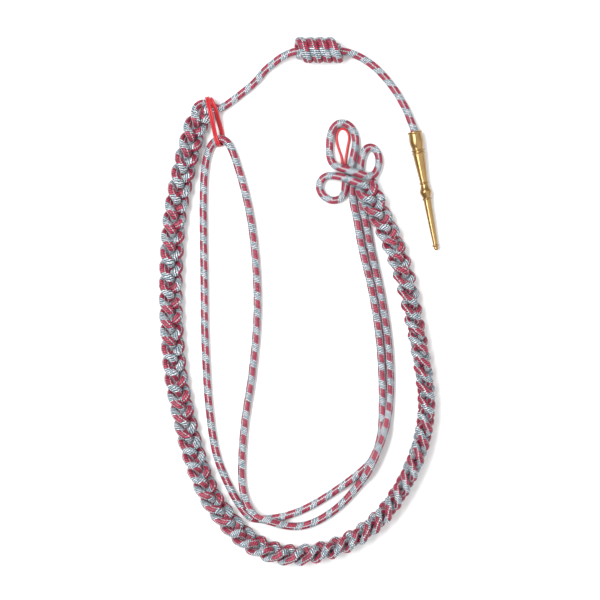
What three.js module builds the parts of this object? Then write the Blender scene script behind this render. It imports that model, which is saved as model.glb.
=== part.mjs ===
// A fourragere lying flat: a plaited cord with a trefoil at one end, a long plain cord that both
// shows as two runs, and a tip cord with a barrel knot and a turned brass ferret.
// Millimetres. +X and +Y lie in the plane that it rests on, +Z points up.
import * as THREE from "three";

// Driving dimensions
const CORD_RADIUS = 2.4; // the round braided cord, half its width across the flats of its section
const STRAND_WIDTH = 4; // the same cord pressed flat where it is plaited
const STRAND_THICKNESS = 3.3;
const PLAIT_PERIOD = 31; // along the plait, from one edge to the other and back
const PLAIT_SWING = 5.5; // a strand's centre, from the middle of the plait to each side
const PLAIT_LIFT = 3.3; // a strand's centre, above and below the middle
const PLAIT_FLATNESS = 0.28; // how much sooner a strand comes up before it crosses
const PLAIT_REST = 0.3; // keeps the strands' edges above the surface
const STRAND_STARTS = [15, 2.2, 0]; // where along the plait each strand comes out from under the trefoil
const STRAND_ENDS = [5.6, 0, 1.6]; // how far before the plait's end each strand ends
const START_PHASE = (150 * Math.PI) / 180; // the first strand lies on top where the plait starts
const RED_CORD_RADIUS = 0.85; // the thin red cord of the two loops
const KNOT_TURNS = 3.8;
const KNOT_PITCH = 6.4;
const KNOT_RADIUS = 6.1; // from the knot's axis to the middle of its turns
const KNOT_START = (-72 * Math.PI) / 180;
const KNOT_SLANT = 0.2; // how far the turns lean along the knot, as a share of their width across it
const KNOT_MIDDLE = [12.6, 160.4];
const KNOT_HEIGHT = KNOT_RADIUS + CORD_RADIUS;
const FERRET_MOUTH = [75, 107.9];
const FERRET_TIP = [89.4, 30.8];
const FERRET_RIM_HEIGHT = 4.9; // its axis above the surface, at the mouth
const FERRET_SLOPE = -0.0255; // it rests on its rim and on the bulb at its middle
const SOCKET_RADIUS = 3.1;
const SOCKET_DEPTH = 6;
const CORD_SIDES = 8;
const STRAND_SIDES = 6;
const RED_CORD_SIDES = 6;
const FERRET_SIDES = 16;
const STEPS_PER_PERIOD = 9.2;
const PLAN_SHIFT = [-0.3, 2.05]; // brings the middle of the outline to the origin
const UP = new THREE.Vector3(0, 0, 1);
const LOW = CORD_RADIUS; // height of a cord's middle where it lies on the surface
const HIGH = 3 * CORD_RADIUS + 0.35; // and where it passes over another

// Materials
const cordCloth = new THREE.MeshStandardMaterial({ color: 0xb5868f, roughness: 0.8, metalness: 0 });
const redCloth = new THREE.MeshStandardMaterial({ color: 0xc81f38, roughness: 0.7, metalness: 0 });
const brass = new THREE.MeshStandardMaterial({ color: 0xc9a063, roughness: 0.28, metalness: 1 });

// The middle line of the plait, from the trefoil round to its other end: x, y, tilt in degrees.
// Tilt is how far the plait's first edge has turned up from the outside of the curve.
const plaitLine = [
  [42.8, 73.4, 165],
  [48, 62, 154],
  [53.9, 50.2, 144],
  [59.4, 38.8, 138],
  [64, 26.6, 131],
  [68.4, 13.6, 124],
  [73, -6, 112],
  [77.2, -28, 101],
  [80.8, -49.2, 98],
  [82.6, -68, 96],
  [80.6, -87, 94],
  [76.2, -102.4, 92],
  [66.6, -123, 90],
  [51.6, -143.2, 86],
  [29.4, -159, 78],
  [3, -166.2, 68],
  [-11.4, -165.8, 62],
  [-23.6, -162.2, 56],
  [-35.2, -155, 50],
  [-52.2, -136.6, 44],
  [-59.2, -125.1, 42],
  [-68.4, -101, 38],
  [-74.8, -75.7, 35],
  [-79.8, -50.2, 32],
  [-82.2, -24.3, 31],
  [-83.1, 2, 30],
  [-82.5, 27.6, 30],
  [-80.4, 53.5, 30],
  [-75.6, 79, 30],
  [-69.7, 102.4, 30],
  [-67.4, 110.2, 30],
  [-63.6, 117.6, 30],
  [-59.8, 121.6, 30],
];

// Routes of the plain cords: x, y and the height of the cord's middle
const armCordRoute = [
  [35.1, 74.3, LOW],
  [34.9, 71.4, LOW],
  [34.8, 68.4, LOW],
  [35.3, 62, LOW],
  [37.6, 51.4, LOW],
  [40.6, 34, LOW],
  [47.4, 4.8, LOW],
  [52.2, -26, LOW],
  [54, -52, LOW],
  [54.2, -72, LOW],
  [53.3, -88, LOW],
  [50.8, -98, LOW],
  [46.6, -106.4, LOW],
  [38.6, -114.2, LOW],
  [23.2, -125.6, LOW],
  [7.7, -135.1, LOW],
  [-7.2, -141.2, LOW],
  [-20, -143.4, LOW],
  [-30.8, -142.9, LOW],
  [-38.4, -134.9, LOW],
  [-45.9, -121.5, LOW],
  [-53.6, -102, LOW],
  [-58.3, -72.8, LOW],
  [-61, -30.6, LOW],
  [-61.8, 18.2, LOW],
  [-62.2, 66, LOW],
  [-61.2, 84, LOW],
  [-59, 95, LOW],
  [-57, 99.3, 2.7],
  [-54.4, 102.1, 3.5],
  [-51, 103.4, 4.5],
  [-47.6, 102.1, 4.4],
  [-44.9, 98.8, 3.4],
  [-42.5, 93.4, LOW],
  [-36.2, 73, LOW],
  [-31.2, 50, LOW],
  [-27.8, 18, LOW],
  [-27.3, -14, LOW],
  [-30.6, -50, LOW],
  [-35.4, -82, LOW],
  [-37.2, -110, LOW],
  [-36.4, -124.4, LOW + 0.6],
  [-33.4, -134.2, 5.6],
  [-28, -141.4, HIGH],
  [-18.6, -144.6, HIGH],
  [-9.4, -147.4, 5.4],
  [0, -148.3, LOW + 0.3],
  [10.4, -145.5, LOW],
  [25.7, -135.6, LOW],
  [39.6, -120.4, LOW + 0.6],
  [43.4, -114.8, 6],
  [46, -110, 7.3],
  [49.2, -103, HIGH],
  [52, -96, HIGH],
  [54.8, -88.4, 6.7],
  [57.2, -79.6, 4],
  [58.8, -68, LOW],
  [59.2, -50.1, LOW],
  [57.6, -26, LOW],
  [52.7, 4.8, LOW],
  [46.2, 34, LOW],
  [43.6, 48, LOW],
  [41, 59, LOW],
  [40.5, 61, LOW],
];
const trefoilRoute = [
  [48.6, 68.8, 2.7],
  [46.8, 69.8, 3.1],
  [44.4, 71.4, 5],
  [41.8, 73.4, 7.3],
  [39.6, 74, HIGH],
  [35.4, 75.6, HIGH],
  [29, 77.9, HIGH],
  [22.4, 79.3, 5.2],
  [16.8, 78.8, LOW],
  [13.6, 75.4, LOW],
  [13.4, 70.8, LOW],
  [15.6, 66.6, LOW],
  [20, 63.8, LOW],
  [24.8, 63.6, LOW],
  [28.4, 66.4, LOW],
  [29.8, 70.6, LOW],
  [30.2, 75.4, LOW],
  [31.6, 80.6, LOW],
  [33.6, 86, LOW],
  [35.4, 93, LOW],
  [36.7, 99.6, LOW],
  [36.5, 105.4, LOW],
  [34.4, 110.2, LOW],
  [30.6, 113.4, LOW],
  [26.4, 113.8, LOW],
  [22.8, 111.2, LOW],
  [20.6, 106.6, LOW],
  [19.8, 99.6, LOW],
  [20, 92.4, LOW],
  [22, 87.2, 3.6],
  [26.6, 84.4, 6.4],
  [32, 82.7, HIGH],
  [38, 80.8, HIGH],
  [44, 78.9, 6.2],
  [49, 80.4, 3.4],
  [51.2, 84.4, LOW],
  [52, 90, LOW],
  [50.7, 95, LOW],
  [47.8, 97.9, LOW],
  [44.6, 98, LOW],
  [42, 94.8, LOW],
  [40.5, 89.8, LOW],
  [39.6, 84.4, LOW],
  [38.6, 78.6, LOW],
];
const tipCordRoute = [
  [-67.5, 120.4, 9.6],
  [-67.1, 122.4, 8.6],
  [-65.6, 124.7, 7.4],
  [-62.8, 126.3, 6],
  [-59.6, 126.2, 5],
  [-56.2, 124.4, 4.8],
  [-52.4, 123, 3.9],
  [-48.2, 124.8, LOW],
  [-43.2, 128.4, LOW],
  [-33.8, 135.7, LOW],
  [-28, 140.9, LOW],
  [-22.4, 147.6, LOW],
  [-17, 152.2, 3.4],
  [-10.4, 156.6, 5.8],
  [-4, 159.2, 8],
  [3, 160, KNOT_HEIGHT],
  [21, 160, KNOT_HEIGHT],
  [27, 159.9, 7.6],
  [33.4, 158.9, 4.8],
  [40, 156.4, LOW],
  [46.3, 152.4, LOW],
  [52.6, 146.9, LOW],
  [62.6, 134.6, LOW],
  [70, 121.4, 2.8],
  [72.6, 114.6, 3.8],
  [74.6, 109.2, FERRET_RIM_HEIGHT],
  [75.9, 103.2, FERRET_RIM_HEIGHT - 0.15],
];
const buttonLoopRoute = [
  [28.2, 86.2, RED_CORD_RADIUS],
  [27.8, 91, RED_CORD_RADIUS],
  [25.2, 99.4, RED_CORD_RADIUS],
  [24.4, 105.4, RED_CORD_RADIUS],
  [26.4, 109.7, RED_CORD_RADIUS],
  [29.2, 110.1, RED_CORD_RADIUS],
  [31.8, 107.8, RED_CORD_RADIUS],
  [32.6, 103.8, RED_CORD_RADIUS],
  [31.6, 98, RED_CORD_RADIUS],
  [30.6, 91.6, RED_CORD_RADIUS],
  [30, 86.2, RED_CORD_RADIUS],
];
const keeperRoute = [
  [-57.2, 121.6, 0.9],
  [-58.6, 125.4, 0.9],
  [-59.5, 129.1, 1.6],
  [-59.6, 130, 4.8],
  [-59.3, 129.3, 7.8],
  [-58.7, 126.4, 10],
  [-57.5, 121.6, 12.2],
  [-56.2, 115.2, 11.6],
  [-55, 109.4, 9.4],
  [-54.2, 105.4, 7.8],
  [-53.4, 102.4, 7.5],
  [-52.6, 100.1, 6.9],
  [-52.2, 99.2, 4.4],
  [-51.6, 99, 2.2],
  [-50.6, 99.9, 0.95],
  [-49.9, 102.8, 0.95],
  [-50.1, 107, 1.2],
  [-51.4, 112, 3],
  [-52.8, 117, 5.4],
  [-53.9, 121.4, 8],
  [-55.3, 124.8, 8.9],
  [-56.7, 128.1, 8.4],
  [-57.6, 129.5, 4.6],
  [-57, 128.4, 1.3],
  [-56.2, 125.4, 0.9],
  [-54.6, 121.8, 0.9],
];

// The ferret's outline: distance from the mouth along its axis, radius
const ferretOutline = [
  [0, 4.4],
  [0.8, 4.7],
  [1.6, 4.2],
  [6, 4.4],
  [10.8, 4],
  [11.6, 3.6],
  [12.4, 4.6],
  [13.2, 3.8],
  [14.2, 4.1],
  [15.6, 3.7],
  [33, 2.4],
  [34, 3],
  [35, 2.4],
  [37.6, 3],
  [39.6, 3.67],
  [41.6, 3.1],
  [43.4, 2.5],
  [44.4, 3],
  [45.4, 2.3],
  [74, 1.5],
  [75.2, 2.1],
  [76.4, 1.5],
  [78.4, 1.2],
];

function toVectors(rows) {
  return rows.map((row) => new THREE.Vector3(...row));
}

function polygonShape(halfHeight, halfWidth, sides) {
  // Its flats face up, down and sideways.
  const shape = new THREE.Shape();
  const stretch = 1 / Math.cos(Math.PI / sides);
  for (let i = 0; i < sides; i++) {
    const angle = ((i + 0.5) * 2 * Math.PI) / sides;
    const x = halfHeight * stretch * Math.cos(angle);
    const y = halfWidth * stretch * Math.sin(angle);
    if (i === 0) {
      shape.moveTo(x, y);
    } else {
      shape.lineTo(x, y);
    }
  }
  shape.closePath();
  return shape;
}

function framesAlong(curve, segments, upAt) {
  // Sections stand square to the curve and keep the given direction up.
  const frames = { tangents: [], normals: [], binormals: [] };
  for (let i = 0; i <= segments; i++) {
    const tangent = curve.getTangentAt(i / segments).normalize();
    const up = upAt(i / segments);
    const normal = up.clone().addScaledVector(tangent, -up.dot(tangent)).normalize();
    frames.tangents.push(tangent);
    frames.normals.push(normal);
    frames.binormals.push(new THREE.Vector3().crossVectors(tangent, normal));
  }
  return frames;
}

class LyingCurve extends THREE.CatmullRomCurve3 {
  constructor(route) {
    super(toVectors(route), false, "centripetal");
    this.lowest = Math.min(...route.map((row) => row[2]));
  }

  getPoint(t, target) {
    // A cord that lies on the surface doesn't dip between two points of its route.
    const point = super.getPoint(t, target);
    point.z = Math.max(point.z, this.lowest);
    return point;
  }

  // The steps follow the route's points, which lie closer where the cord bends.
  getPointAt(u, target) {
    return this.getPoint(u, target);
  }

  getTangentAt(u, target) {
    return this.getTangent(u, target);
  }

  computeFrenetFrames(segments) {
    return framesAlong(this, segments, () => UP);
  }
}

class PlaitStrand extends THREE.Curve {
  constructor(number) {
    super();
    this.phase = START_PHASE + (2 * Math.PI * number) / STRAND_STARTS.length;
    this.start = STRAND_STARTS[number] / plaitLength;
    this.end = 1 - STRAND_ENDS[number] / plaitLength;
  }

  along(t) {
    return THREE.MathUtils.lerp(this.start, this.end, t);
  }

  getPoint(t, target = new THREE.Vector3()) {
    const u = this.along(t);
    const frame = plaitFrame(u);
    const phase = this.phase + (2 * Math.PI * u * plaitLength) / PLAIT_PERIOD;
    const across = PLAIT_SWING * Math.sin(phase);
    const above = PLAIT_LIFT * (Math.sin(2 * phase) + PLAIT_FLATNESS * Math.sin(4 * phase));
    target.copy(frame.middle).addScaledVector(frame.edge, across);
    return target.addScaledVector(frame.face, above);
  }

  getPointAt(u, target) {
    return this.getPoint(u, target);
  }

  getTangentAt(u) {
    const step = 0.02 / plaitLength;
    const before = this.getPoint(Math.max(u - step, 0));
    return this.getPoint(Math.min(u + step, 1)).sub(before).normalize();
  }

  computeFrenetFrames(segments) {
    return framesAlong(this, segments, (t) => plaitFrame(this.along(t)).face);
  }
}

class KnotTurns extends THREE.Curve {
  getPoint(t, target = new THREE.Vector3()) {
    const angle = KNOT_START + 2 * Math.PI * KNOT_TURNS * t;
    const along = KNOT_PITCH * KNOT_TURNS * (t - 0.5);
    const side = KNOT_RADIUS * Math.cos(angle);
    const height = KNOT_HEIGHT + KNOT_RADIUS * Math.sin(angle);
    return target.set(KNOT_MIDDLE[0] + along - KNOT_SLANT * side, KNOT_MIDDLE[1] + side, height);
  }

  computeFrenetFrames(segments) {
    const outwards = (u) => {
      const angle = KNOT_START + 2 * Math.PI * KNOT_TURNS * u;
      return new THREE.Vector3(0, Math.cos(angle), Math.sin(angle));
    };
    return framesAlong(this, segments, outwards);
  }
}

// The plait's middle line
const middlePoints = toVectors(plaitLine.map(([x, y]) => [x, y, 0]));
const middleCurve = new THREE.CatmullRomCurve3(middlePoints, false, "centripetal");
middleCurve.arcLengthDivisions = 2000;
const plaitLength = middleCurve.getLength();

function plaitTilt(u) {
  const place = middleCurve.getUtoTmapping(u) * (plaitLine.length - 1);
  const row = Math.min(Math.floor(place), plaitLine.length - 2);
  const degrees = THREE.MathUtils.lerp(plaitLine[row][2], plaitLine[row + 1][2], place - row);
  return THREE.MathUtils.degToRad(degrees);
}

function plaitReach(tilt) {
  // How far the plait reaches below its middle when it is tilted.
  let reach = 0;
  for (let i = 0; i < 72; i++) {
    const phase = (i * Math.PI) / 36;
    const across = PLAIT_SWING * Math.sin(phase);
    const above = PLAIT_LIFT * (Math.sin(2 * phase) + PLAIT_FLATNESS * Math.sin(4 * phase));
    reach = Math.max(reach, across * Math.sin(tilt) + above * Math.cos(tilt));
  }
  const halfWidth = (STRAND_WIDTH / 2) * Math.sin(tilt);
  const halfThickness = (STRAND_THICKNESS / 2) * Math.cos(tilt);
  return reach + Math.hypot(halfWidth, halfThickness) + PLAIT_REST;
}

function plaitFrame(u) {
  const tangent = middleCurve.getTangentAt(u);
  const outside = new THREE.Vector3(-tangent.y, tangent.x, 0);
  const tilt = plaitTilt(u);
  const edge = outside.clone().multiplyScalar(Math.cos(tilt)).addScaledVector(UP, Math.sin(tilt));
  const face = outside.clone().multiplyScalar(-Math.sin(tilt)).addScaledVector(UP, Math.cos(tilt));
  const middle = middleCurve.getPointAt(u).addScaledVector(UP, plaitReach(tilt));
  return { middle, edge, face };
}

function sweep(shape, curve, steps) {
  return new THREE.ExtrudeGeometry(shape, { extrudePath: curve, steps });
}

const fourragere = new THREE.Group();
fourragere.position.set(...PLAN_SHIFT, 0);

function addPiece(name, geometry, material) {
  const mesh = new THREE.Mesh(geometry, material);
  mesh.name = name;
  fourragere.add(mesh);
  return mesh;
}

function addCord(name, route, radius, sides, stepsPerPoint, material) {
  const steps = Math.round(stepsPerPoint * (route.length - 1));
  addPiece(name, sweep(polygonShape(radius, radius, sides), new LyingCurve(route), steps), material);
}

// The plait
const strandShape = polygonShape(STRAND_THICKNESS / 2, STRAND_WIDTH / 2, STRAND_SIDES);
const strandSteps = Math.round((STEPS_PER_PERIOD * plaitLength) / PLAIT_PERIOD);
for (let i = 0; i < STRAND_STARTS.length; i++) {
  addPiece(`plait_strand_${i + 1}`, sweep(strandShape, new PlaitStrand(i), strandSteps), cordCloth);
}

// The plain cords
addCord("arm_cord", armCordRoute, CORD_RADIUS, CORD_SIDES, 1.5, cordCloth);
addCord("trefoil_cord", trefoilRoute, CORD_RADIUS, CORD_SIDES, 1.4, cordCloth);
addCord("tip_cord", tipCordRoute, CORD_RADIUS, CORD_SIDES, 1.5, cordCloth);
const knotShape = polygonShape(CORD_RADIUS, CORD_RADIUS, CORD_SIDES);
addPiece("barrel_knot", sweep(knotShape, new KnotTurns(), 38), cordCloth);

// The red loops
addCord("button_loop", buttonLoopRoute, RED_CORD_RADIUS, RED_CORD_SIDES, 2, redCloth);
addCord("keeper_loop", keeperRoute, RED_CORD_RADIUS, RED_CORD_SIDES, 1.5, redCloth);

// The ferret: turned about its axis, with a socket for the cord's end
const socketOutline = [[SOCKET_DEPTH, 0], [SOCKET_DEPTH, SOCKET_RADIUS], [0, SOCKET_RADIUS]];
const ferretProfile = [...socketOutline, ...ferretOutline, [ferretOutline.at(-1)[0], 0]];
const profilePoints = ferretProfile.map(([along, radius]) => new THREE.Vector2(radius, along));
const ferret = addPiece("ferret", new THREE.LatheGeometry(profilePoints, FERRET_SIDES), brass);
ferret.position.set(FERRET_MOUTH[0], FERRET_MOUTH[1], FERRET_RIM_HEIGHT);
const ferretRun = new THREE.Vector3(FERRET_TIP[0] - FERRET_MOUTH[0], FERRET_TIP[1] - FERRET_MOUTH[1], 0);
ferretRun.z = FERRET_SLOPE * ferretRun.length();
ferret.quaternion.setFromUnitVectors(new THREE.Vector3(0, 1, 0), ferretRun.normalize());

export default fourragere;
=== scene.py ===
"""Looks of a fourragere, a braided shoulder cord that lies flat: a plait with a trefoil at one end,
a long plain cord that shows as two runs, and a tip cord with a barrel knot and a brass ferret."""

import bpy
import numpy as np
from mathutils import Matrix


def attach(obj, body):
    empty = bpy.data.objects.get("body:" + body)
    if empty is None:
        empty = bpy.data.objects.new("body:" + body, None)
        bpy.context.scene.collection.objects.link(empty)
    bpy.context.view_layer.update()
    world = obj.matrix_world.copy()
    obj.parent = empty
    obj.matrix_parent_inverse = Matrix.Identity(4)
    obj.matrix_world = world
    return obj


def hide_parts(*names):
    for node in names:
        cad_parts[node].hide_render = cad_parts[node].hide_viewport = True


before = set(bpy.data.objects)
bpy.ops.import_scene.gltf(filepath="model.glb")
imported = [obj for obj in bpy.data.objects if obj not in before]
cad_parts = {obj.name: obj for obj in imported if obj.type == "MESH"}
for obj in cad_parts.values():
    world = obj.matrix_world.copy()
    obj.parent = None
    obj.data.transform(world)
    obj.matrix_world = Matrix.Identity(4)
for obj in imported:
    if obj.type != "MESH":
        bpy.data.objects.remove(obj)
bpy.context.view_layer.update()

# Sizes in metres
CORD_RADIUS = 0.0024  # the round braided cord where it lies on the surface
SHOWN_RADIUS = 0.00245  # the same cord with its yarns' swell
PLAIT_PERIOD = 0.031  # along the plait, from one edge to the other and back
PLAIT_SWING = 0.0055  # a strand's centre, from the middle of the plait to each side
PLAIT_LIFT = 0.0033  # a strand's centre, above and below the middle
PLAIT_FLATNESS = 0.28  # how much flatter a strand runs at the plait's edges
PLAIT_REST = 0.0003  # between the lowest strand's solid and the surface
STRAND_WIDTH = 0.004  # the solid strand's section, which sets how high the plait lies
STRAND_THICKNESS = 0.0033
PRESSED_HALF_WIDTH = 0.0027  # the plaited cord as it shows, pressed by its neighbours
PRESSED_HALF_THICKNESS = 0.0021
STRAND_STARTS = (0.015, 0.0022, 0)  # along the plait, where each strand's row of points starts
STRAND_ENDS = (0.0056, 0, 0.0016)  # and how far before the plait's end it stops
START_PHASE = np.radians(150)
PLAIT_ROWS = 4001  # along the plait
REPEAT_PLACES = 73  # in one repeat, to find a strand's lowest point
STRAND_POINTS_APART = 0.002  # leaves room to join the turned-in ends on smoothly
RED_CORD_RADIUS = 0.00085
KEEPER_CORD_RADIUS = 0.00075  # the keeper is this thinner cord, laid double
KEEPER_SIDE = np.array([0.97, 0.243, 0])  # from one of its two cords to the other
KEEPER_PRESS = 0.95  # how far apart they lie, as a share of their thickness
RED_CORD_SIDES = 16
RED_CORD_STEP = 0.0003
TWIST_SWELL = 0.00003  # the fine twist of the thin red cords
TWIST_PITCH = 0.0021
TWIST_YARNS = 3
KNOT_TURNS = 3.8
KNOT_PITCH = 0.0064
KNOT_RADIUS = 0.0061  # from its axis to the middle of the cord
KNOT_START = np.radians(-72)
KNOT_SLANT = 0.2  # how far the turns lean along the knot, as a share of their width across it
KNOT_MIDDLE = (0.0126, 0.1604)
KNOT_HEIGHT = KNOT_RADIUS + CORD_RADIUS
KNOT_TUCK = 0.1  # each end dives inside over this share of the turns
KNOT_CORE = 0.003  # from its axis to the middle of an end that has dived inside
KNOT_HALF_WIDTH = 0.0031  # the turns lie pressed side by side
KNOT_CROWDING = 1.13  # its yarns lie that much closer
KNOT_FIRST_THREAD = -0.0045  # where its dashes start
KNOT_ROWS = 1000
FERRET_MOUTH = (0.075, 0.1079)
FERRET_TIP = (0.0894, 0.0308)
FERRET_RIM_HEIGHT = 0.0049
FERRET_SLOPE = -0.0255  # it rests on its wide mouth and its swelling
FERRET_SIDES = 64
FERRET_ROWS = 700
FERRET_TIP_RADIUS = 0.0013
SOCKET_RADIUS = 0.0031
SOCKET_DEPTH = 0.006
SOCKET_ROWS = 20
PLAN_SHIFT = np.array([-0.0003, 0.00205, 0])
LOW = CORD_RADIUS  # the middle of a cord on the surface
HIGH = 3 * CORD_RADIUS + 0.00035  # and of a cord that lies over another one
UP = np.array([0, 0, 1.0])
CORD_EASING = 0.006  # the length over which a cord's bends even out
BUTTON_EASING = 0.003
KEEPER_EASING = 0.0025
EASING_STEP = 0.00025

# The braid: four columns of yarn round the cord, each with red dashes
DASH_PERIOD = 0.011
YARNS_PER_PERIOD = 10
YARN_SPACING = DASH_PERIOD / YARNS_PER_PERIOD
COLUMNS = 4
STITCHES_ACROSS = 3  # in each column
YARN_SLANT = 0.0016  # along the cord, from one side of a column to the other
RED_SHARE = 0.53
RED_REACH = 0.42  # from the middle of a column, as a share of its width
SEAM_REACH = 0.455  # where the pale thread between two columns starts
SEAM_DEPTH = 0.00014  # between two columns
YARN_SWELL = 0.00016
YARN_CROWDS = [(0.0003, 0.0031), (0.0004, 0.0083)]  # yarns crowd in waves: reach, length / 2 pi
FILAMENTS_APART = 0.0002
STEP = YARN_SPACING / 4  # between the rings of a cord's mesh
CORD_SIDES = 24
SQUARENESS = 2.3  # a cord's section, where 2 is an ellipse
END_OPENING = 0.02  # keeps a cord's last ring from shrinking to a point

# The middle line of the plait: x, y, tilt in degrees
PLAIT_LINE = [
    (0.0428, 0.0734, 165),
    (0.048, 0.062, 154),
    (0.0539, 0.0502, 144),
    (0.0594, 0.0388, 138),
    (0.064, 0.0266, 131),
    (0.0684, 0.0136, 124),
    (0.073, -0.006, 112),
    (0.0772, -0.028, 101),
    (0.0808, -0.0492, 98),
    (0.0826, -0.068, 96),
    (0.0806, -0.087, 94),
    (0.0762, -0.1024, 92),
    (0.0666, -0.123, 90),
    (0.0516, -0.1432, 86),
    (0.0294, -0.159, 78),
    (0.003, -0.1662, 68),
    (-0.0114, -0.1658, 62),
    (-0.0236, -0.1622, 56),
    (-0.0352, -0.155, 50),
    (-0.0522, -0.1366, 44),
    (-0.0592, -0.1251, 42),
    (-0.0684, -0.101, 38),
    (-0.0748, -0.0757, 35),
    (-0.0798, -0.0502, 32),
    (-0.0822, -0.0243, 31),
    (-0.0831, 0.002, 30),
    (-0.0825, 0.0276, 30),
    (-0.0804, 0.0535, 30),
    (-0.0756, 0.079, 30),
    (-0.0697, 0.1024, 30),
    (-0.0674, 0.1102, 30),
    (-0.0636, 0.1176, 30),
    (-0.0598, 0.1216, 30),
]

# How the strands' ends turn in under their neighbours: points before the first one and after the
# last one
STRAND_FIRST_ENDS = [
    [
        (0.048, 0.0692, 0.003),
        (0.0494, 0.0685, 0.0036),
        (0.0512, 0.0675, 0.0054),
        (0.0527, 0.0658, 0.0071),
        (0.0534, 0.0636, 0.0083),
    ],
    [
        (0.0454, 0.0754, 0.0026),
        (0.047, 0.0756, 0.0034),
        (0.0481, 0.0748, 0.005),
    ],
    [],
]
STRAND_LAST_ENDS = [
    [],
    [],
    [
        (-0.0603, 0.1214, 0.0087),
        (-0.0589, 0.122, 0.0089),
        (-0.0575, 0.1212, 0.0083),
        (-0.0567, 0.1198, 0.0068),
    ],
]

# Routes of the plain cords: x, y and the height of the cord's middle
ARM_CORD_ROUTE = [
    (0.0351, 0.0743, LOW),
    (0.0349, 0.0714, LOW),
    (0.0348, 0.0684, LOW),
    (0.0353, 0.062, LOW),
    (0.0376, 0.0514, LOW),
    (0.0406, 0.034, LOW),
    (0.0474, 0.0048, LOW),
    (0.0522, -0.026, LOW),
    (0.054, -0.052, LOW),
    (0.0542, -0.072, LOW),
    (0.0533, -0.088, LOW),
    (0.0508, -0.098, LOW),
    (0.0466, -0.1064, LOW),
    (0.0386, -0.1142, LOW),
    (0.0232, -0.1256, LOW),
    (0.0077, -0.1351, LOW),
    (-0.0072, -0.1412, LOW),
    (-0.02, -0.1434, LOW),
    (-0.0308, -0.1429, LOW),
    (-0.0384, -0.1349, LOW),
    (-0.0459, -0.1215, LOW),
    (-0.0536, -0.102, LOW),
    (-0.0583, -0.0728, LOW),
    (-0.061, -0.0306, LOW),
    (-0.0618, 0.0182, LOW),
    (-0.0622, 0.066, LOW),
    (-0.0612, 0.084, LOW),
    (-0.059, 0.095, LOW),
    (-0.057, 0.0993, 0.0027),
    (-0.0544, 0.1021, 0.0035),
    (-0.051, 0.1034, 0.0045),
    (-0.0476, 0.1021, 0.0044),
    (-0.0449, 0.0988, 0.0034),
    (-0.0425, 0.0934, LOW),
    (-0.0362, 0.073, LOW),
    (-0.0312, 0.05, LOW),
    (-0.0278, 0.018, LOW),
    (-0.0273, -0.014, LOW),
    (-0.0306, -0.05, LOW),
    (-0.0354, -0.082, LOW),
    (-0.0372, -0.11, LOW),
    (-0.0364, -0.1244, LOW + 0.0006),
    (-0.0334, -0.1342, 0.0056),
    (-0.028, -0.1414, HIGH),
    (-0.0186, -0.1446, HIGH),
    (-0.0094, -0.1474, 0.0054),
    (0, -0.1483, LOW + 0.0003),
    (0.0104, -0.1455, LOW),
    (0.0257, -0.1356, LOW),
    (0.0396, -0.1204, LOW + 0.0006),
    (0.0434, -0.1148, 0.006),
    (0.046, -0.11, 0.0073),
    (0.0492, -0.103, HIGH),
    (0.052, -0.096, HIGH),
    (0.0548, -0.0884, 0.0067),
    (0.0572, -0.0796, 0.004),
    (0.0588, -0.068, LOW),
    (0.0592, -0.0501, LOW),
    (0.0576, -0.026, LOW),
    (0.0527, 0.0048, LOW),
    (0.0462, 0.034, LOW),
    (0.0436, 0.048, LOW),
    (0.041, 0.059, LOW),
    (0.0405, 0.061, LOW),
]
ARM_CORD_TUCK = (0.0402, 0.065, LOW)  # its second end goes on under the plait
# How far the cord has rolled over along its length: share of the length, turns
ARM_CORD_ROLLS = [
    (0, 0.11),
    (0.14, 0.11),
    (0.26, 0.01),
    (0.47, -0.01),
    (0.54, 0.1),
    (0.71, 0.1),
    (0.79, 0.02),
    (0.87, 0.11),
    (1, 0.12),
]
TREFOIL_ROUTE = [
    (0.0486, 0.0688, 0.0027),
    (0.0468, 0.0698, 0.0031),
    (0.0444, 0.0714, 0.005),
    (0.0418, 0.0734, 0.0073),
    (0.0396, 0.074, HIGH),
    (0.0354, 0.0756, HIGH),
    (0.029, 0.0779, HIGH),
    (0.0224, 0.0793, 0.0052),
    (0.0168, 0.0788, LOW),
    (0.0136, 0.0754, LOW),
    (0.0134, 0.0708, LOW),
    (0.0156, 0.0666, LOW),
    (0.02, 0.0638, LOW),
    (0.0248, 0.0636, LOW),
    (0.0284, 0.0664, LOW),
    (0.0298, 0.0706, LOW),
    (0.0302, 0.0754, LOW),
    (0.0316, 0.0806, LOW),
    (0.0336, 0.086, LOW),
    (0.0354, 0.093, LOW),
    (0.0367, 0.0996, LOW),
    (0.0365, 0.1054, LOW),
    (0.0344, 0.1102, LOW),
    (0.0306, 0.1134, LOW),
    (0.0264, 0.1138, LOW),
    (0.0228, 0.1112, LOW),
    (0.0206, 0.1066, LOW),
    (0.0198, 0.0996, LOW),
    (0.02, 0.0924, LOW),
    (0.022, 0.0872, 0.0036),
    (0.0266, 0.0844, 0.0064),
    (0.032, 0.0827, HIGH),
    (0.038, 0.0808, HIGH),
    (0.044, 0.0789, 0.0062),
    (0.049, 0.0804, 0.0034),
    (0.0512, 0.0844, LOW),
    (0.052, 0.09, LOW),
    (0.0507, 0.095, LOW),
    (0.0478, 0.0979, LOW),
    (0.0446, 0.098, LOW),
    (0.042, 0.0948, LOW),
    (0.0405, 0.0898, LOW),
    (0.0396, 0.0844, LOW),
    (0.0386, 0.0786, LOW),
]
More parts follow.
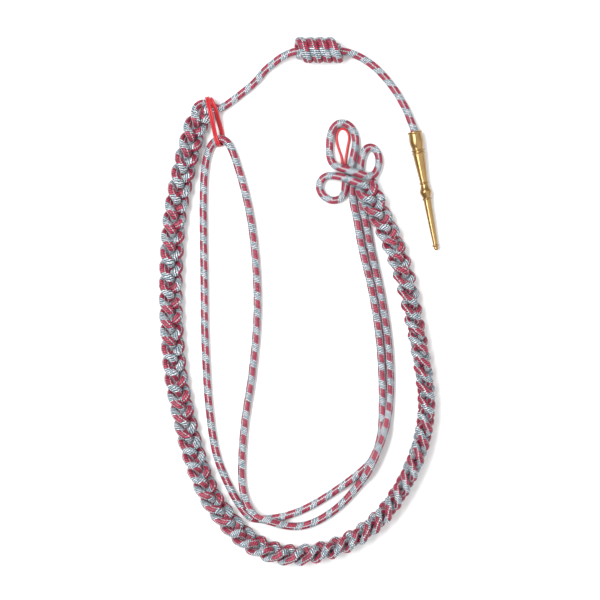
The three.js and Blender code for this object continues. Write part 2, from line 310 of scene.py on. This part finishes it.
# The tip cord's first end comes out of the plait
TIP_CORD_TUCK = [
    (-0.0652, 0.1112, 0.006),
    (-0.0668, 0.1158, 0.0086),
]
TIP_CORD_ROUTE = [
    (-0.0675, 0.1204, 0.0096),
    (-0.0671, 0.1224, 0.0086),
    (-0.0656, 0.1247, 0.0074),
    (-0.0628, 0.1263, 0.006),
    (-0.0596, 0.1262, 0.005),
    (-0.0562, 0.1244, 0.0048),
    (-0.0524, 0.123, 0.0039),
    (-0.0482, 0.1248, LOW),
    (-0.0432, 0.1284, LOW),
    (-0.0338, 0.1357, LOW),
    (-0.028, 0.1409, LOW),
    (-0.0224, 0.1476, LOW),
    (-0.017, 0.1522, 0.0034),
    (-0.0104, 0.1566, 0.0058),
    (-0.004, 0.1592, 0.008),
    (0.003, 0.16, KNOT_HEIGHT),
    (0.021, 0.16, KNOT_HEIGHT),
    (0.027, 0.1599, 0.0076),
    (0.0334, 0.1589, 0.0048),
    (0.04, 0.1564, LOW),
    (0.0463, 0.1524, LOW),
    (0.0526, 0.1469, LOW),
    (0.0626, 0.1346, LOW),
    (0.07, 0.1214, 0.0028),
    (0.0726, 0.1146, 0.0038),
    (0.0746, 0.1092, FERRET_RIM_HEIGHT),
    (0.0759, 0.1032, FERRET_RIM_HEIGHT - 0.00015),
]
BUTTON_LOOP_ROUTE = [
    (0.0282, 0.0862, RED_CORD_RADIUS),
    (0.0278, 0.091, RED_CORD_RADIUS),
    (0.0252, 0.0994, RED_CORD_RADIUS),
    (0.0244, 0.1054, RED_CORD_RADIUS),
    (0.0264, 0.1097, RED_CORD_RADIUS),
    (0.0292, 0.1101, RED_CORD_RADIUS),
    (0.0318, 0.1078, RED_CORD_RADIUS),
    (0.0326, 0.1038, RED_CORD_RADIUS),
    (0.0316, 0.098, RED_CORD_RADIUS),
    (0.0306, 0.0916, RED_CORD_RADIUS),
    (0.03, 0.0862, RED_CORD_RADIUS),
]
KEEPER_ROUTE = [
    (-0.0572, 0.1216, 0.0009),
    (-0.0586, 0.1254, 0.0009),
    (-0.0595, 0.1291, 0.0016),
    (-0.0596, 0.13, 0.0048),
    (-0.0593, 0.1293, 0.0078),
    (-0.0587, 0.1264, 0.01),
    (-0.0575, 0.1216, 0.0122),
    (-0.0562, 0.1152, 0.0116),
    (-0.055, 0.1094, 0.0094),
    (-0.0542, 0.1054, 0.0078),
    (-0.0534, 0.1024, 0.0075),
    (-0.0526, 0.1001, 0.0069),
    (-0.0522, 0.0992, 0.0044),
    (-0.0516, 0.099, 0.0022),
    (-0.0506, 0.0999, 0.00095),
    (-0.0499, 0.1028, 0.00095),
    (-0.0501, 0.107, 0.0012),
    (-0.0514, 0.112, 0.003),
    (-0.0528, 0.117, 0.0054),
    (-0.0539, 0.1214, 0.008),
    (-0.0553, 0.1248, 0.0089),
    (-0.0567, 0.1281, 0.0084),
    (-0.0576, 0.1295, 0.0046),
    (-0.057, 0.1284, 0.0013),
    (-0.0562, 0.1254, 0.0009),
    (-0.0546, 0.1218, 0.0009),
]

# The ferret's body: distance from the mouth along its axis, radius
FERRET_BODY = [
    (0, 0.0044),
    (0.0016, 0.00425),
    (0.0036, 0.0044),
    (0.006, 0.0046),
    (0.0084, 0.0044),
    (0.0108, 0.0038),
    (0.0124, 0.0037),
    (0.0142, 0.0039),
    (0.0156, 0.00385),
    (0.024, 0.00325),
    (0.0325, 0.00258),
    (0.0346, 0.0025),
    (0.0368, 0.0029),
    (0.0396, 0.00387),
    (0.042, 0.0032),
    (0.0438, 0.0025),
    (0.0456, 0.0025),
    (0.06, 0.0021),
    (0.0736, 0.0016),
    (0.0752, 0.0015),
    (0.0764, 0.0014),
    (0.0774, 0.0015),
    (0.0784, 0.0014),
]
# Half-round beads on it: place, half its length, height
FERRET_BEADS = [
    (0.0007, 0.0007, 0.00045),
    (0.0124, 0.0006, 0.00085),
    (0.0142, 0.0005, 0.0005),
    (0.034, 0.0006, 0.0007),
    (0.0444, 0.0006, 0.00075),
    (0.0752, 0.0007, 0.0008),
]

# The photograph's frame
FRAME_WIDTH = 0.39
FRAME_CENTRE = (0.00035, 0.00075)
CAMERA_DISTANCE = 1.3
SENSOR_WIDTH = 36
FLOOR_REACH = 3
WORLD_LIGHT = 0.5


def smooth_line(points, samples=24):
    """A centripetal curve through the points, and each sample's place in the list."""
    points = np.asarray(points, float)
    padded = np.vstack([2 * points[0] - points[1], points, 2 * points[-1] - points[-2]])
    weight = (np.arange(samples) / samples)[:, None]
    line = []
    for i in range(len(points) - 1):
        before, start, end, after = padded[i : i + 4]
        steps = ((before, start), (start, end), (end, after))
        near, here, far = [np.sqrt(np.linalg.norm(b - a)) for a, b in steps]
        middle = (end - start) / here
        first = (start - before) / near - (end - before) / (near + here) + middle
        second = middle - (after - start) / (here + far) + (after - end) / far
        first *= here
        second *= here
        bend = -3 * start + 3 * end - 2 * first - second
        twist = 2 * start - 2 * end + first + second
        line.append(start + weight * (first + weight * (bend + weight * twist)))
    line.append(points[-1:])
    places = np.arange((len(points) - 1) * samples + 1) / samples
    return np.vstack(line), places


def lengths_along(line):
    """The distance of each point from the line's start."""
    return np.concatenate([[0], np.cumsum(np.linalg.norm(np.diff(line, axis=0), axis=1))])


def even_steps(line, step):
    """The same line with even steps, and the distance of each from the start."""
    lengths = lengths_along(line)
    steps = max(int(round(lengths[-1] / step)), 2)
    along = np.linspace(0, lengths[-1], steps + 1)
    return np.column_stack([np.interp(along, lengths, line[:, i]) for i in range(3)]), along


def unit(vectors):
    """The same directions, each of length 1."""
    return vectors / np.linalg.norm(vectors, axis=-1, keepdims=True)


def eased(line, reach):
    """The line with its bends evened out over that length, as a stiff cord takes them."""
    path, _ = even_steps(line, EASING_STEP)
    half = max(int(reach / EASING_STEP / 2), 1)
    count = np.arange(half, 0, -1)[:, None]
    before = path[0] - count * (path[1] - path[0])
    after = path[-1] + count[::-1] * (path[-1] - path[-2])
    padded = np.vstack([before, path, after])
    kernel = np.hanning(2 * half + 3)[1:-1]
    kernel /= kernel.sum()
    return np.column_stack([np.convolve(padded[:, i], kernel, "valid") for i in range(3)])


def lying_line(route, reach=CORD_EASING):
    """A cord's middle line along its route."""
    line, _ = smooth_line(route)
    line[:, 2] = np.maximum(line[:, 2], min(row[2] for row in route))
    return eased(line, reach) + PLAN_SHIFT


def plait_rows():
    """Along the plait: distance, middle point, direction and tilt."""
    line, places = smooth_line([(x, y, 0) for x, y, _ in PLAIT_LINE], samples=60)
    tilts = np.interp(places, np.arange(len(PLAIT_LINE)), [row[2] for row in PLAIT_LINE])
    tilts = np.radians(tilts)
    lengths = lengths_along(line)
    along = np.linspace(0, lengths[-1], PLAIT_ROWS)
    middle = np.column_stack([np.interp(along, lengths, line[:, i]) for i in range(3)])
    return along, middle, unit(np.gradient(middle, axis=0)), np.interp(along, lengths, tilts)


def plait_place(phase):
    """A strand's centre at that phase, across and above the middle of the plait."""
    across = PLAIT_SWING * np.sin(phase)
    above = PLAIT_LIFT * (np.sin(2 * phase) + PLAIT_FLATNESS * np.sin(4 * phase))
    return across, above


def strand_line(number):
    """A strand's centre line, and the direction of the plait's face along it."""
    along, middle, direction, tilt = plait_rows()
    outside = np.column_stack([-direction[:, 1], direction[:, 0], np.zeros(len(direction))])
    sine = np.sin(tilt)[:, None]
    cosine = np.cos(tilt)[:, None]
    edge = outside * cosine + UP * sine
    face = -outside * sine + UP * cosine
    across, above = plait_place(np.linspace(0, 2 * np.pi, REPEAT_PLACES))
    reach = (across * sine + above * cosine).max(axis=1)
    reach += np.hypot(STRAND_WIDTH / 2 * sine[:, 0], STRAND_THICKNESS / 2 * cosine[:, 0])
    reach += PLAIT_REST
    phase = START_PHASE + 2 * np.pi * (number / len(STRAND_STARTS) + along / PLAIT_PERIOD)
    across, above = plait_place(phase)
    line = middle + UP * reach[:, None] + edge * across[:, None] + face * above[:, None]
    kept = (along >= STRAND_STARTS[number]) & (along <= along[-1] - STRAND_ENDS[number])
    apart = int(STRAND_POINTS_APART / along[1])
    first = np.reshape(STRAND_FIRST_ENDS[number], (-1, 3))
    last = np.reshape(STRAND_LAST_ENDS[number], (-1, 3))
    line, places = smooth_line(np.vstack([first, line[kept][::apart], last]), samples=12)
    rows = [np.tile(UP, (len(first), 1)), face[kept][::apart], np.tile(UP, (len(last), 1))]
    rows = np.vstack(rows)
    numbers = np.arange(len(rows))
    face = np.column_stack([np.interp(places, numbers, rows[:, i]) for i in range(3)])
    return line + PLAN_SHIFT, face


def knot_line():
    """The barrel knot's turns, whose ends dive inside, and the direction away from its axis."""
    turn = np.linspace(-KNOT_TUCK, 1 + KNOT_TUCK, KNOT_ROWS)
    angle = KNOT_START + 2 * np.pi * KNOT_TURNS * turn
    dive = np.maximum(np.maximum(-turn, turn - 1), 0) / KNOT_TUCK
    radius = KNOT_RADIUS - (KNOT_RADIUS - KNOT_CORE) * dive * dive * (3 - 2 * dive)
    along = KNOT_PITCH * KNOT_TURNS * (np.clip(turn, 0, 1) - 0.5)
    outwards = np.column_stack([np.zeros(len(turn)), np.cos(angle), np.sin(angle)])
    line = radius[:, None] * outwards + (KNOT_MIDDLE[0], KNOT_MIDDLE[1], KNOT_HEIGHT)
    line[:, 0] += along - KNOT_SLANT * radius * np.cos(angle)
    return line + PLAN_SHIFT, outwards


def uneven(along):
    """Distance along the braid as its yarns count it: they crowd a little here and there."""
    threads = along
    for reach, length in YARN_CROWDS:
        threads = threads + reach * np.sin(along / length)
    return threads


def braid_relief(around, along):
    """How far the yarns stand out at a place on the cord, in metres."""
    across = (around * COLUMNS) % 1 - 0.5
    seam = np.abs(2 * across) ** 4
    yarn = np.cos(2 * np.pi * (along + YARN_SLANT * across) / YARN_SPACING)
    return -SEAM_DEPTH * seam + YARN_SWELL * yarn * (1 - seam)


def twist_relief(around, along):
    """The fine twist of the thin red cord."""
    return TWIST_SWELL * np.cos(2 * np.pi * (TWIST_YARNS * around + along / TWIST_PITCH))


def tube(
    name,
    line,
    ups,
    half_thickness,
    half_width,
    relief,
    material,
    sides=CORD_SIDES,
    step=STEP,
    rolls=((0, 0),),
    crowding=1,
    first_thread=0,
):
    """A cord's mesh along a line. Its UV map holds the place around it and the metres along it.
    Rolls are rows of a share of the length and the turns that the cord has rolled there.
    Crowding is how much closer than usual its yarns lie, and the first thread is where in the
    pattern it starts."""
    path, along = even_steps(line, step)
    lengths = lengths_along(line)
    if np.ndim(ups) == 1:
        ups = np.tile(ups, (len(line), 1))
    ups = np.column_stack([np.interp(along, lengths, ups[:, i]) for i in range(3)])
    direction = unit(np.gradient(path, axis=0))
    normal = unit(ups - direction * np.sum(ups * direction, axis=1, keepdims=True))
    side = np.cross(direction, normal)
    around = np.arange(sides) / sides
    turn = np.interp(along / along[-1], [row[0] for row in rolls], [row[1] for row in rolls])
    angle = 2 * np.pi * (around[None, :] + turn[:, None])
    radius = np.abs(np.cos(angle) / half_thickness) ** SQUARENESS
    radius = (radius + np.abs(np.sin(angle) / half_width) ** SQUARENESS) ** (-1 / SQUARENESS)
    threads = first_thread + uneven(along) * crowding
    radius = radius + relief(around[None, :], threads[:, None])
    # The ends are rounded off
    from_end = np.minimum(along, along[-1] - along) / half_thickness
    radius *= np.sqrt(1 - (1 - np.clip(from_end, END_OPENING, 1)) ** 2)[:, None]
    points = path[:, None] + radius[..., None] * (
        np.cos(angle)[..., None] * normal[:, None] + np.sin(angle)[..., None] * side[:, None]
    )
    points[..., 2] = np.maximum(points[..., 2], 0)
    return swept_mesh(name, points, np.arange(sides + 1) / sides, threads, material)


def swept_mesh(name, points, u, v, material):
    """Rows of points joined by quads, closed round each row, with both ends capped."""
    rows, sides = points.shape[:2]
    row, corner = np.meshgrid(np.arange(rows - 1), np.arange(sides), indexing="ij")
    after = (corner + 1) % sides
    start, end = row * sides, (row + 1) * sides
    quads = np.stack([start + corner, start + after, end + after, end + corner], -1)
    caps = [list(range(sides))[::-1], [(rows - 1) * sides + i for i in range(sides)]]
    mesh = bpy.data.meshes.new(name)
    mesh.from_pydata(points.reshape(-1, 3).tolist(), [], quads.reshape(-1, 4).tolist() + caps)
    across = np.stack([u[corner], u[corner + 1], u[corner + 1], u[corner]], -1)
    along = np.stack([v[row], v[row], v[row + 1], v[row + 1]], -1)
    cap_rows = np.column_stack([np.zeros(2 * sides), np.repeat([v[0], v[-1]], sides)])
    uv = np.vstack([np.stack([across, along], -1).reshape(-1, 2), cap_rows])
    layer = mesh.uv_layers.new(name="threads")
    layer.data.foreach_set("uv", uv.ravel().astype(np.float32))
    mesh.polygons.foreach_set("use_smooth", np.ones(len(mesh.polygons), bool))
    mesh.materials.append(material)
    mesh.update()
    piece = bpy.data.objects.new(name, mesh)
    bpy.context.scene.collection.objects.link(piece)
    return piece


def hex_colour(code):
    """A colour from its sRGB hex value, turned to linear."""
    values = [int(code[i : i + 2], 16) / 255 for i in (1, 3, 5)]
    return [v / 12.92 if v <= 0.04045 else ((v + 0.055) / 1.055) ** 2.4 for v in values] + [1]


def add_node(tree, kind, inputs=(), **settings):
    """Adds a node with its settings. An input is a value or another node's socket."""
    node = tree.nodes.new(kind)
    for name, value in settings.items():
        setattr(node, name, value)
    for socket, value in dict(inputs).items():
        if isinstance(value, bpy.types.NodeSocket):
            tree.links.new(value, node.inputs[socket])
        else:
            node.inputs[socket].default_value = value
    return node


def new_material(name):
    """A material with an empty tree, and its tree."""
    material = bpy.data.materials.new(name)
    material.use_nodes = True
    material.node_tree.nodes.clear()
    return material, material.node_tree


def finish_material(tree, shader):
    """Joins the shader to the material's surface."""
    add_node(tree, "ShaderNodeOutputMaterial", {"Surface": shader.outputs["BSDF"]})


def braided_viscose():
    """Viscose yarn braided hard: satin threads, pale blue-grey, with crimson dashes in each
    column. The yarns are drawn 1.1 mm apart where the real ones are finer, so that they show."""
    material, tree = new_material("braided_viscose")
    threads = add_node(tree, "ShaderNodeUVMap", uv_map="threads").outputs["UV"]
    place = add_node(tree, "ShaderNodeSeparateXYZ", {"Vector": threads})
    around = add_node(
        tree, "ShaderNodeMath", {0: place.outputs["X"], 1: COLUMNS}, operation="MULTIPLY"
    ).outputs[0]
    column = add_node(tree, "ShaderNodeMath", {0: around}, operation="FLOOR").outputs[0]
    across = add_node(
        tree, "ShaderNodeMath", {0: around, 1: column}, operation="SUBTRACT"
    ).outputs[0]
    across = add_node(tree, "ShaderNodeMath", {0: across, 1: 0.5}, operation="SUBTRACT").outputs[0]
    slant = add_node(
        tree,
        "ShaderNodeMath",
        {0: across, 1: YARN_SLANT, 2: place.outputs["Y"]},
        operation="MULTIPLY_ADD",
    ).outputs[0]
    yarn = add_node(
        tree, "ShaderNodeMath", {0: slant, 1: YARN_SPACING}, operation="DIVIDE"
    ).outputs[0]
    # Red dashes: half of each period, a quarter of it sooner in the next column
    dash = add_node(
        tree, "ShaderNodeMath", {0: slant, 1: DASH_PERIOD}, operation="DIVIDE"
    ).outputs[0]
    dash = add_node(
        tree, "ShaderNodeMath", {0: column, 1: 1 / COLUMNS, 2: dash}, operation="MULTIPLY_ADD"
    ).outputs[0]
    dash = add_node(tree, "ShaderNodeMath", {0: dash}, operation="FRACT").outputs[0]
    red = add_node(
        tree, "ShaderNodeMath", {0: dash, 1: RED_SHARE}, operation="LESS_THAN"
    ).outputs[0]
    # The red stops short of the column's edges, and a pale thread runs between two columns
    off_middle = add_node(tree, "ShaderNodeMath", {0: across}, operation="ABSOLUTE").outputs[0]
    inside = add_node(
        tree, "ShaderNodeMath", {0: off_middle, 1: RED_REACH}, operation="LESS_THAN"
    ).outputs[0]
    seam = add_node(
        tree, "ShaderNodeMath", {0: off_middle, 1: SEAM_REACH}, operation="GREATER_THAN"
    ).outputs[0]
    red = add_node(tree, "ShaderNodeMath", {0: red, 1: inside}, operation="MULTIPLY").outputs[0]
    # Each stitch has its own shade, and every other row of stitches is shifted by half a stitch
    yarn_number = add_node(tree, "ShaderNodeMath", {0: yarn, 1: 0.5}, operation="ADD").outputs[0]
    yarn_number = add_node(tree, "ShaderNodeMath", {0: yarn_number}, operation="FLOOR").outputs[0]
    row_shift = add_node(
        tree, "ShaderNodeMath", {0: yarn_number, 1: 0.5}, operation="MULTIPLY"
    ).outputs[0]
    stitch = add_node(
        tree,
        "ShaderNodeMath",
        {0: around, 1: STITCHES_ACROSS, 2: row_shift},
        operation="MULTIPLY_ADD",
    ).outputs[0]
    stitch_number = add_node(tree, "ShaderNodeMath", {0: stitch}, operation="FLOOR").outputs[0]
    seed = add_node(tree, "ShaderNodeCombineXYZ", {"X": yarn_number, "Y": stitch_number}).outputs[0]
    shade = add_node(
        tree, "ShaderNodeTexWhiteNoise", {"Vector": seed}, noise_dimensions="2D"
    ).outputs["Value"]
    # Painted shade: the valleys between yarns, and between the stitches along a yarn, are darker
    # where shade falls between them; the tops of the yarns keep their colour
    wave = add_node(
        tree, "ShaderNodeMath", {0: yarn, 1: 2 * np.pi}, operation="MULTIPLY"
    ).outputs[0]
    wave = add_node(tree, "ShaderNodeMath", {0: wave}, operation="COSINE").outputs[0]
    ridge_free_of_painted_shade = add_node(
        tree, "ShaderNodeMapRange", {"Value": wave, "From Min": -0.6, "From Max": 0.8}
    ).outputs[0]
    stitch_wave = add_node(
        tree, "ShaderNodeMath", {0: stitch, 1: 2 * np.pi}, operation="MULTIPLY"
    ).outputs[0]
    stitch_wave = add_node(tree, "ShaderNodeMath", {0: stitch_wave}, operation="COSINE").outputs[0]
    stitch_free_of_painted_shade = add_node(
        tree,
        "ShaderNodeMapRange",
        {"Value": stitch_wave, "From Min": 1, "From Max": -0.2, "To Min": 0.55},
    ).outputs[0]
    ridge_free_of_painted_shade = add_node(
        tree, "ShaderNodeMath", {0: ridge_free_of_painted_shade, 1: stitch_free_of_painted_shade}, operation="MULTIPLY"
    ).outputs[0]
    pale = add_node(
        tree,
        "ShaderNodeMix",
        {0: shade, 6: hex_colour("#8da6b5"), 7: hex_colour("#f2f8fc")},
        data_type="RGBA",
    ).outputs[2]
    pale = add_node(
        tree, "ShaderNodeMix", {0: seam, 6: pale, 7: hex_colour("#f6fafb")}, data_type="RGBA"
    ).outputs[2]
    # Painted shade: the pale yarns darken to a deep blue-grey in their valleys
    pale = add_node(
        tree, "ShaderNodeMix", {0: ridge_free_of_painted_shade, 6: hex_colour("#1c2935"), 7: pale}, data_type="RGBA"
    ).outputs[2]
    crimson = add_node(
        tree,
        "ShaderNodeMix",
        {0: shade, 6: hex_colour("#8f1436"), 7: hex_colour("#da3f63")},
        data_type="RGBA",
    ).outputs[2]
    # Painted shade: the crimson yarns darken to a deep red in their valleys
    crimson = add_node(
        tree, "ShaderNodeMix", {0: ridge_free_of_painted_shade, 6: hex_colour("#480b1e"), 7: crimson}, data_type="RGBA"
    ).outputs[2]
    colour = add_node(
        tree, "ShaderNodeMix", {0: red, 6: pale, 7: crimson}, data_type="RGBA"
    ).outputs[2]
    # Loose filaments roughen the gloss, drawn 0.2 mm apart where the real ones are finer
    object_place = add_node(tree, "ShaderNodeTexCoord").outputs["Object"]
    filaments = add_node(
        tree,
        "ShaderNodeTexNoise",
        {"Vector": object_place, "Scale": 1 / FILAMENTS_APART, "Detail": 2},
    ).outputs["Fac"]
    roughness = add_node(
        tree, "ShaderNodeMapRange", {"Value": filaments, "To Min": 0.38, "To Max": 0.62}
    ).outputs[0]
    bump = add_node(
        tree, "ShaderNodeBump", {"Height": filaments, "Distance": 0.00005, "Strength": 0.5}
    ).outputs[0]
    shader = add_node(
        tree,
        "ShaderNodeBsdfPrincipled",
        {
            "Base Color": colour,
            "Roughness": roughness,
            "Normal": bump,
            "IOR": 1.53,
            "Sheen Weight": 0.12,
            "Sheen Roughness": 0.4,
        },
    )
    finish_material(tree, shader)
    return material


def red_rayon():
    """Plain red rayon cord: brighter than the braid's red, satin, and even."""
    material, tree = new_material("red_rayon")
    # Bundles of fibres, drawn 0.8 mm apart where single ones are too fine to show
    object_place = add_node(tree, "ShaderNodeTexCoord").outputs["Object"]
    fibres = add_node(
        tree, "ShaderNodeTexNoise", {"Vector": object_place, "Scale": 1 / 0.0008, "Detail": 4}
    ).outputs["Fac"]
    colour = add_node(
        tree,
        "ShaderNodeMix",
        {0: fibres, 6: hex_colour("#8f0f1c"), 7: hex_colour("#d3202d")},
        data_type="RGBA",
    ).outputs[2]
    bump = add_node(
        tree, "ShaderNodeBump", {"Height": fibres, "Distance": 0.00006, "Strength": 0.5}
    ).outputs[0]
    shader = add_node(
        tree,
        "ShaderNodeBsdfPrincipled",
        {
            "Base Color": colour,
            "Roughness": 0.42,
            "Normal": bump,
            "IOR": 1.53,
            "Sheen Weight": 0.05,
        },
    )
    finish_material(tree, shader)
    return material


def turned_brass():
    """Yellow brass, turned and worn satin: long soft highlights, fine rings from the lathe."""
    material, tree = new_material("turned_brass")
    # Handling has dulled it in patches about 6 mm wide
    object_place = add_node(tree, "ShaderNodeTexCoord").outputs["Object"]
    wear = add_node(
        tree, "ShaderNodeTexNoise", {"Vector": object_place, "Scale": 1 / 0.006, "Detail": 5}
    ).outputs["Fac"]
    colour = add_node(
        tree,
        "ShaderNodeMix",
        {0: wear, 6: hex_colour("#91734b"), 7: hex_colour("#af9062")},
        data_type="RGBA",
    ).outputs[2]
    roughness = add_node(
        tree, "ShaderNodeMapRange", {"Value": wear, "To Min": 0.24, "To Max": 0.38}
    ).outputs[0]
    # The tool's rings, drawn 0.3 mm apart where the real ones are finer
    threads = add_node(tree, "ShaderNodeUVMap", uv_map="threads").outputs["UV"]
    place = add_node(tree, "ShaderNodeSeparateXYZ", {"Vector": threads})
    rings = add_node(
        tree,
        "ShaderNodeTexNoise",
        {"W": place.outputs["Y"], "Scale": 1 / 0.0003},
        noise_dimensions="1D",
    ).outputs["Fac"]
    bump = add_node(
        tree, "ShaderNodeBump", {"Height": rings, "Distance": 0.00001, "Strength": 0.4}
    ).outputs[0]
    shader = add_node(
        tree,
        "ShaderNodeBsdfPrincipled",
        {"Base Color": colour, "Metallic": 1, "Roughness": roughness, "Normal": bump},
    )
    finish_material(tree, shader)
    return material


def matt_paper():
    """Plain pale backdrop paper."""
    material, tree = new_material("matt_paper")
    # Its fibres make faint clouds, 4 mm apart
    object_place = add_node(tree, "ShaderNodeTexCoord").outputs["Object"]
    fibres = add_node(
        tree, "ShaderNodeTexNoise", {"Vector": object_place, "Scale": 1 / 0.004}
    ).outputs["Fac"]
    colour = add_node(
        tree,
        "ShaderNodeMix",
        {0: fibres, 6: hex_colour("#f3f3f3"), 7: hex_colour("#f6f6f6")},
        data_type="RGBA",
    ).outputs[2]
    shader = add_node(tree, "ShaderNodeBsdfPrincipled", {"Base Color": colour, "Roughness": 0.9})
    finish_material(tree, shader)
    return material


def turned_ferret(material):
    """The ferret as the lathe leaves it: a smooth body, half-round beads and the cord's socket."""
    body, _ = smooth_line([(x, r, 0) for x, r in FERRET_BODY], samples=40)
    along = np.linspace(0, FERRET_BODY[-1][0], FERRET_ROWS)
    radius = np.interp(along, body[:, 0], body[:, 1])
    for place, reach, height in FERRET_BEADS:
        radius = radius + height * np.sqrt(np.maximum(1 - ((along - place) / reach) ** 2, 0))
    # The tip is rounded off, and stays 0.01 mm open so that no two points of the mesh are one
    to_tip = np.minimum(FERRET_BODY[-1][0] - along, FERRET_TIP_RADIUS)
    rounded = np.sqrt(2 * FERRET_TIP_RADIUS * to_tip - to_tip**2) + 1e-5
    radius = np.where(to_tip < FERRET_TIP_RADIUS, np.minimum(radius, rounded), radius)
    hollow = np.linspace(SOCKET_DEPTH, 0, SOCKET_ROWS)
    along = np.concatenate([hollow, along])
    radius = np.concatenate([np.full(len(hollow), SOCKET_RADIUS), radius])
    angle = 2 * np.pi * np.arange(FERRET_SIDES) / FERRET_SIDES
    run = np.array([FERRET_TIP[0] - FERRET_MOUTH[0], FERRET_TIP[1] - FERRET_MOUTH[1], 0])
    run[2] = FERRET_SLOPE * np.linalg.norm(run)
    axis = unit(run)
    side = unit(np.cross(axis, UP))
    top = np.cross(side, axis)
    mouth = np.array([*FERRET_MOUTH, FERRET_RIM_HEIGHT]) + PLAN_SHIFT
    spokes = np.cos(angle)[:, None] * top + np.sin(angle)[:, None] * np.cross(axis, top)
    points = mouth + along[:, None, None] * axis + radius[:, None, None] * spokes
    around = np.arange(FERRET_SIDES + 1) / FERRET_SIDES
    return swept_mesh("turned_ferret", points, around, along, material)


def settle(piece, slot, *nodes):
    """The piece stands for those solids and rides where they do."""
    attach(piece, "root")
    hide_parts(*nodes)


# The camera looks straight down
camera_data = bpy.data.cameras.new("camera")
camera_data.sensor_width = SENSOR_WIDTH
camera_data.lens = SENSOR_WIDTH * CAMERA_DISTANCE / FRAME_WIDTH
camera = bpy.data.objects.new("camera", camera_data)
camera.location = (FRAME_CENTRE[0], FRAME_CENTRE[1], CAMERA_DISTANCE + LOW)
bpy.context.scene.collection.objects.link(camera)
bpy.context.scene.camera = camera

braid = braided_viscose()
plain_red = red_rayon()
brass = turned_brass()

# The plait
for number in range(len(STRAND_STARTS)):
    line, face = strand_line(number)
    name = f"plaited_strand_{number + 1}"
    strand = tube(
        name, line, face, PRESSED_HALF_THICKNESS, PRESSED_HALF_WIDTH, braid_relief, braid
    )
    settle(strand, "cord", f"plait_strand_{number + 1}")

# The plain cords
arm_line = lying_line(ARM_CORD_ROUTE + [ARM_CORD_TUCK])
arm_cord = tube(
    "plain_arm_cord",
    arm_line,
    UP,
    SHOWN_RADIUS,
    SHOWN_RADIUS,
    braid_relief,
    braid,
    rolls=ARM_CORD_ROLLS,
)
settle(arm_cord, "cord", "arm_cord")
trefoil_line = lying_line(TREFOIL_ROUTE)
trefoil = tube(
    "trefoil_of_cord", trefoil_line, UP, SHOWN_RADIUS, SHOWN_RADIUS, braid_relief, braid
)
settle(trefoil, "cord", "trefoil_cord")
tip_line = lying_line(TIP_CORD_TUCK + TIP_CORD_ROUTE)
tip_cord = tube("tip_cord_run", tip_line, UP, SHOWN_RADIUS, SHOWN_RADIUS, braid_relief, braid)
settle(tip_cord, "cord", "tip_cord")
turns_line, outwards = knot_line()
knot = tube(
    "barrel_knot_turns",
    turns_line,
    outwards,
    CORD_RADIUS,
    KNOT_HALF_WIDTH,
    braid_relief,
    braid,
    crowding=KNOT_CROWDING,
    first_thread=KNOT_FIRST_THREAD,
)
settle(knot, "cord", "barrel_knot")

# The red loops
button_line = lying_line(BUTTON_LOOP_ROUTE, BUTTON_EASING)
button_loop = tube(
    "red_button_loop",
    button_line,
    UP,
    RED_CORD_RADIUS,
    RED_CORD_RADIUS,
    twist_relief,
    plain_red,
    RED_CORD_SIDES,
    RED_CORD_STEP,
)
settle(button_loop, "red_cord", "button_loop")
keeper_line = lying_line(KEEPER_ROUTE, KEEPER_EASING)
direction = unit(np.gradient(keeper_line, axis=0))
beside = KEEPER_SIDE - direction * (direction @ KEEPER_SIDE)[:, None]
for number, shift in enumerate((-KEEPER_CORD_RADIUS, KEEPER_CORD_RADIUS)):
    line = keeper_line + shift * KEEPER_PRESS * beside
    name = f"red_keeper_cord_{number + 1}"
    keeper = tube(
        name,
        line,
        beside,
        KEEPER_CORD_RADIUS,
        KEEPER_CORD_RADIUS,
        twist_relief,
        plain_red,
        RED_CORD_SIDES,
        RED_CORD_STEP,
    )
    settle(keeper, "red_cord", "keeper_loop")

ferret = turned_ferret(brass)
settle(ferret, "brass", "ferret")

# The floor and the lights
floor_mesh = bpy.data.meshes.new("floor")
corners = [(x * FLOOR_REACH, y * FLOOR_REACH, 0) for x, y in ((-1, -1), (1, -1), (1, 1), (-1, 1))]
floor_mesh.from_pydata(corners, [], [(0, 1, 2, 3)])
floor_mesh.materials.append(matt_paper())
floor = bpy.data.objects.new("floor", floor_mesh)
bpy.context.scene.collection.objects.link(floor)

LIGHTS = [
    # name, place, length, width, watts
    ("key_light", (-0.6, 0.2, 1.25), 1.3, 0.4, 26),
    ("fill_light", (0.9, -0.3, 1.2), 2.2, 2.2, 14),
]
for name, place, length, width, watts in LIGHTS:
    light_data = bpy.data.lights.new(name, "AREA")
    light_data.shape = "RECTANGLE"
    light_data.size = length
    light_data.size_y = width
    light_data.energy = watts
    light = bpy.data.objects.new(name, light_data)
    light.location = place
    towards = -light.location
    light.rotation_euler = towards.to_track_quat("-Z", "Y").to_euler()
    bpy.context.scene.collection.objects.link(light)
world = bpy.data.worlds.new("studio")
world.use_nodes = True
background = world.node_tree.nodes["Background"]
background.inputs["Color"].default_value = (1, 1, 1, 1)
background.inputs["Strength"].default_value = WORLD_LIGHT
bpy.context.scene.world = world
bpy.context.scene.view_settings.view_transform = "Standard"
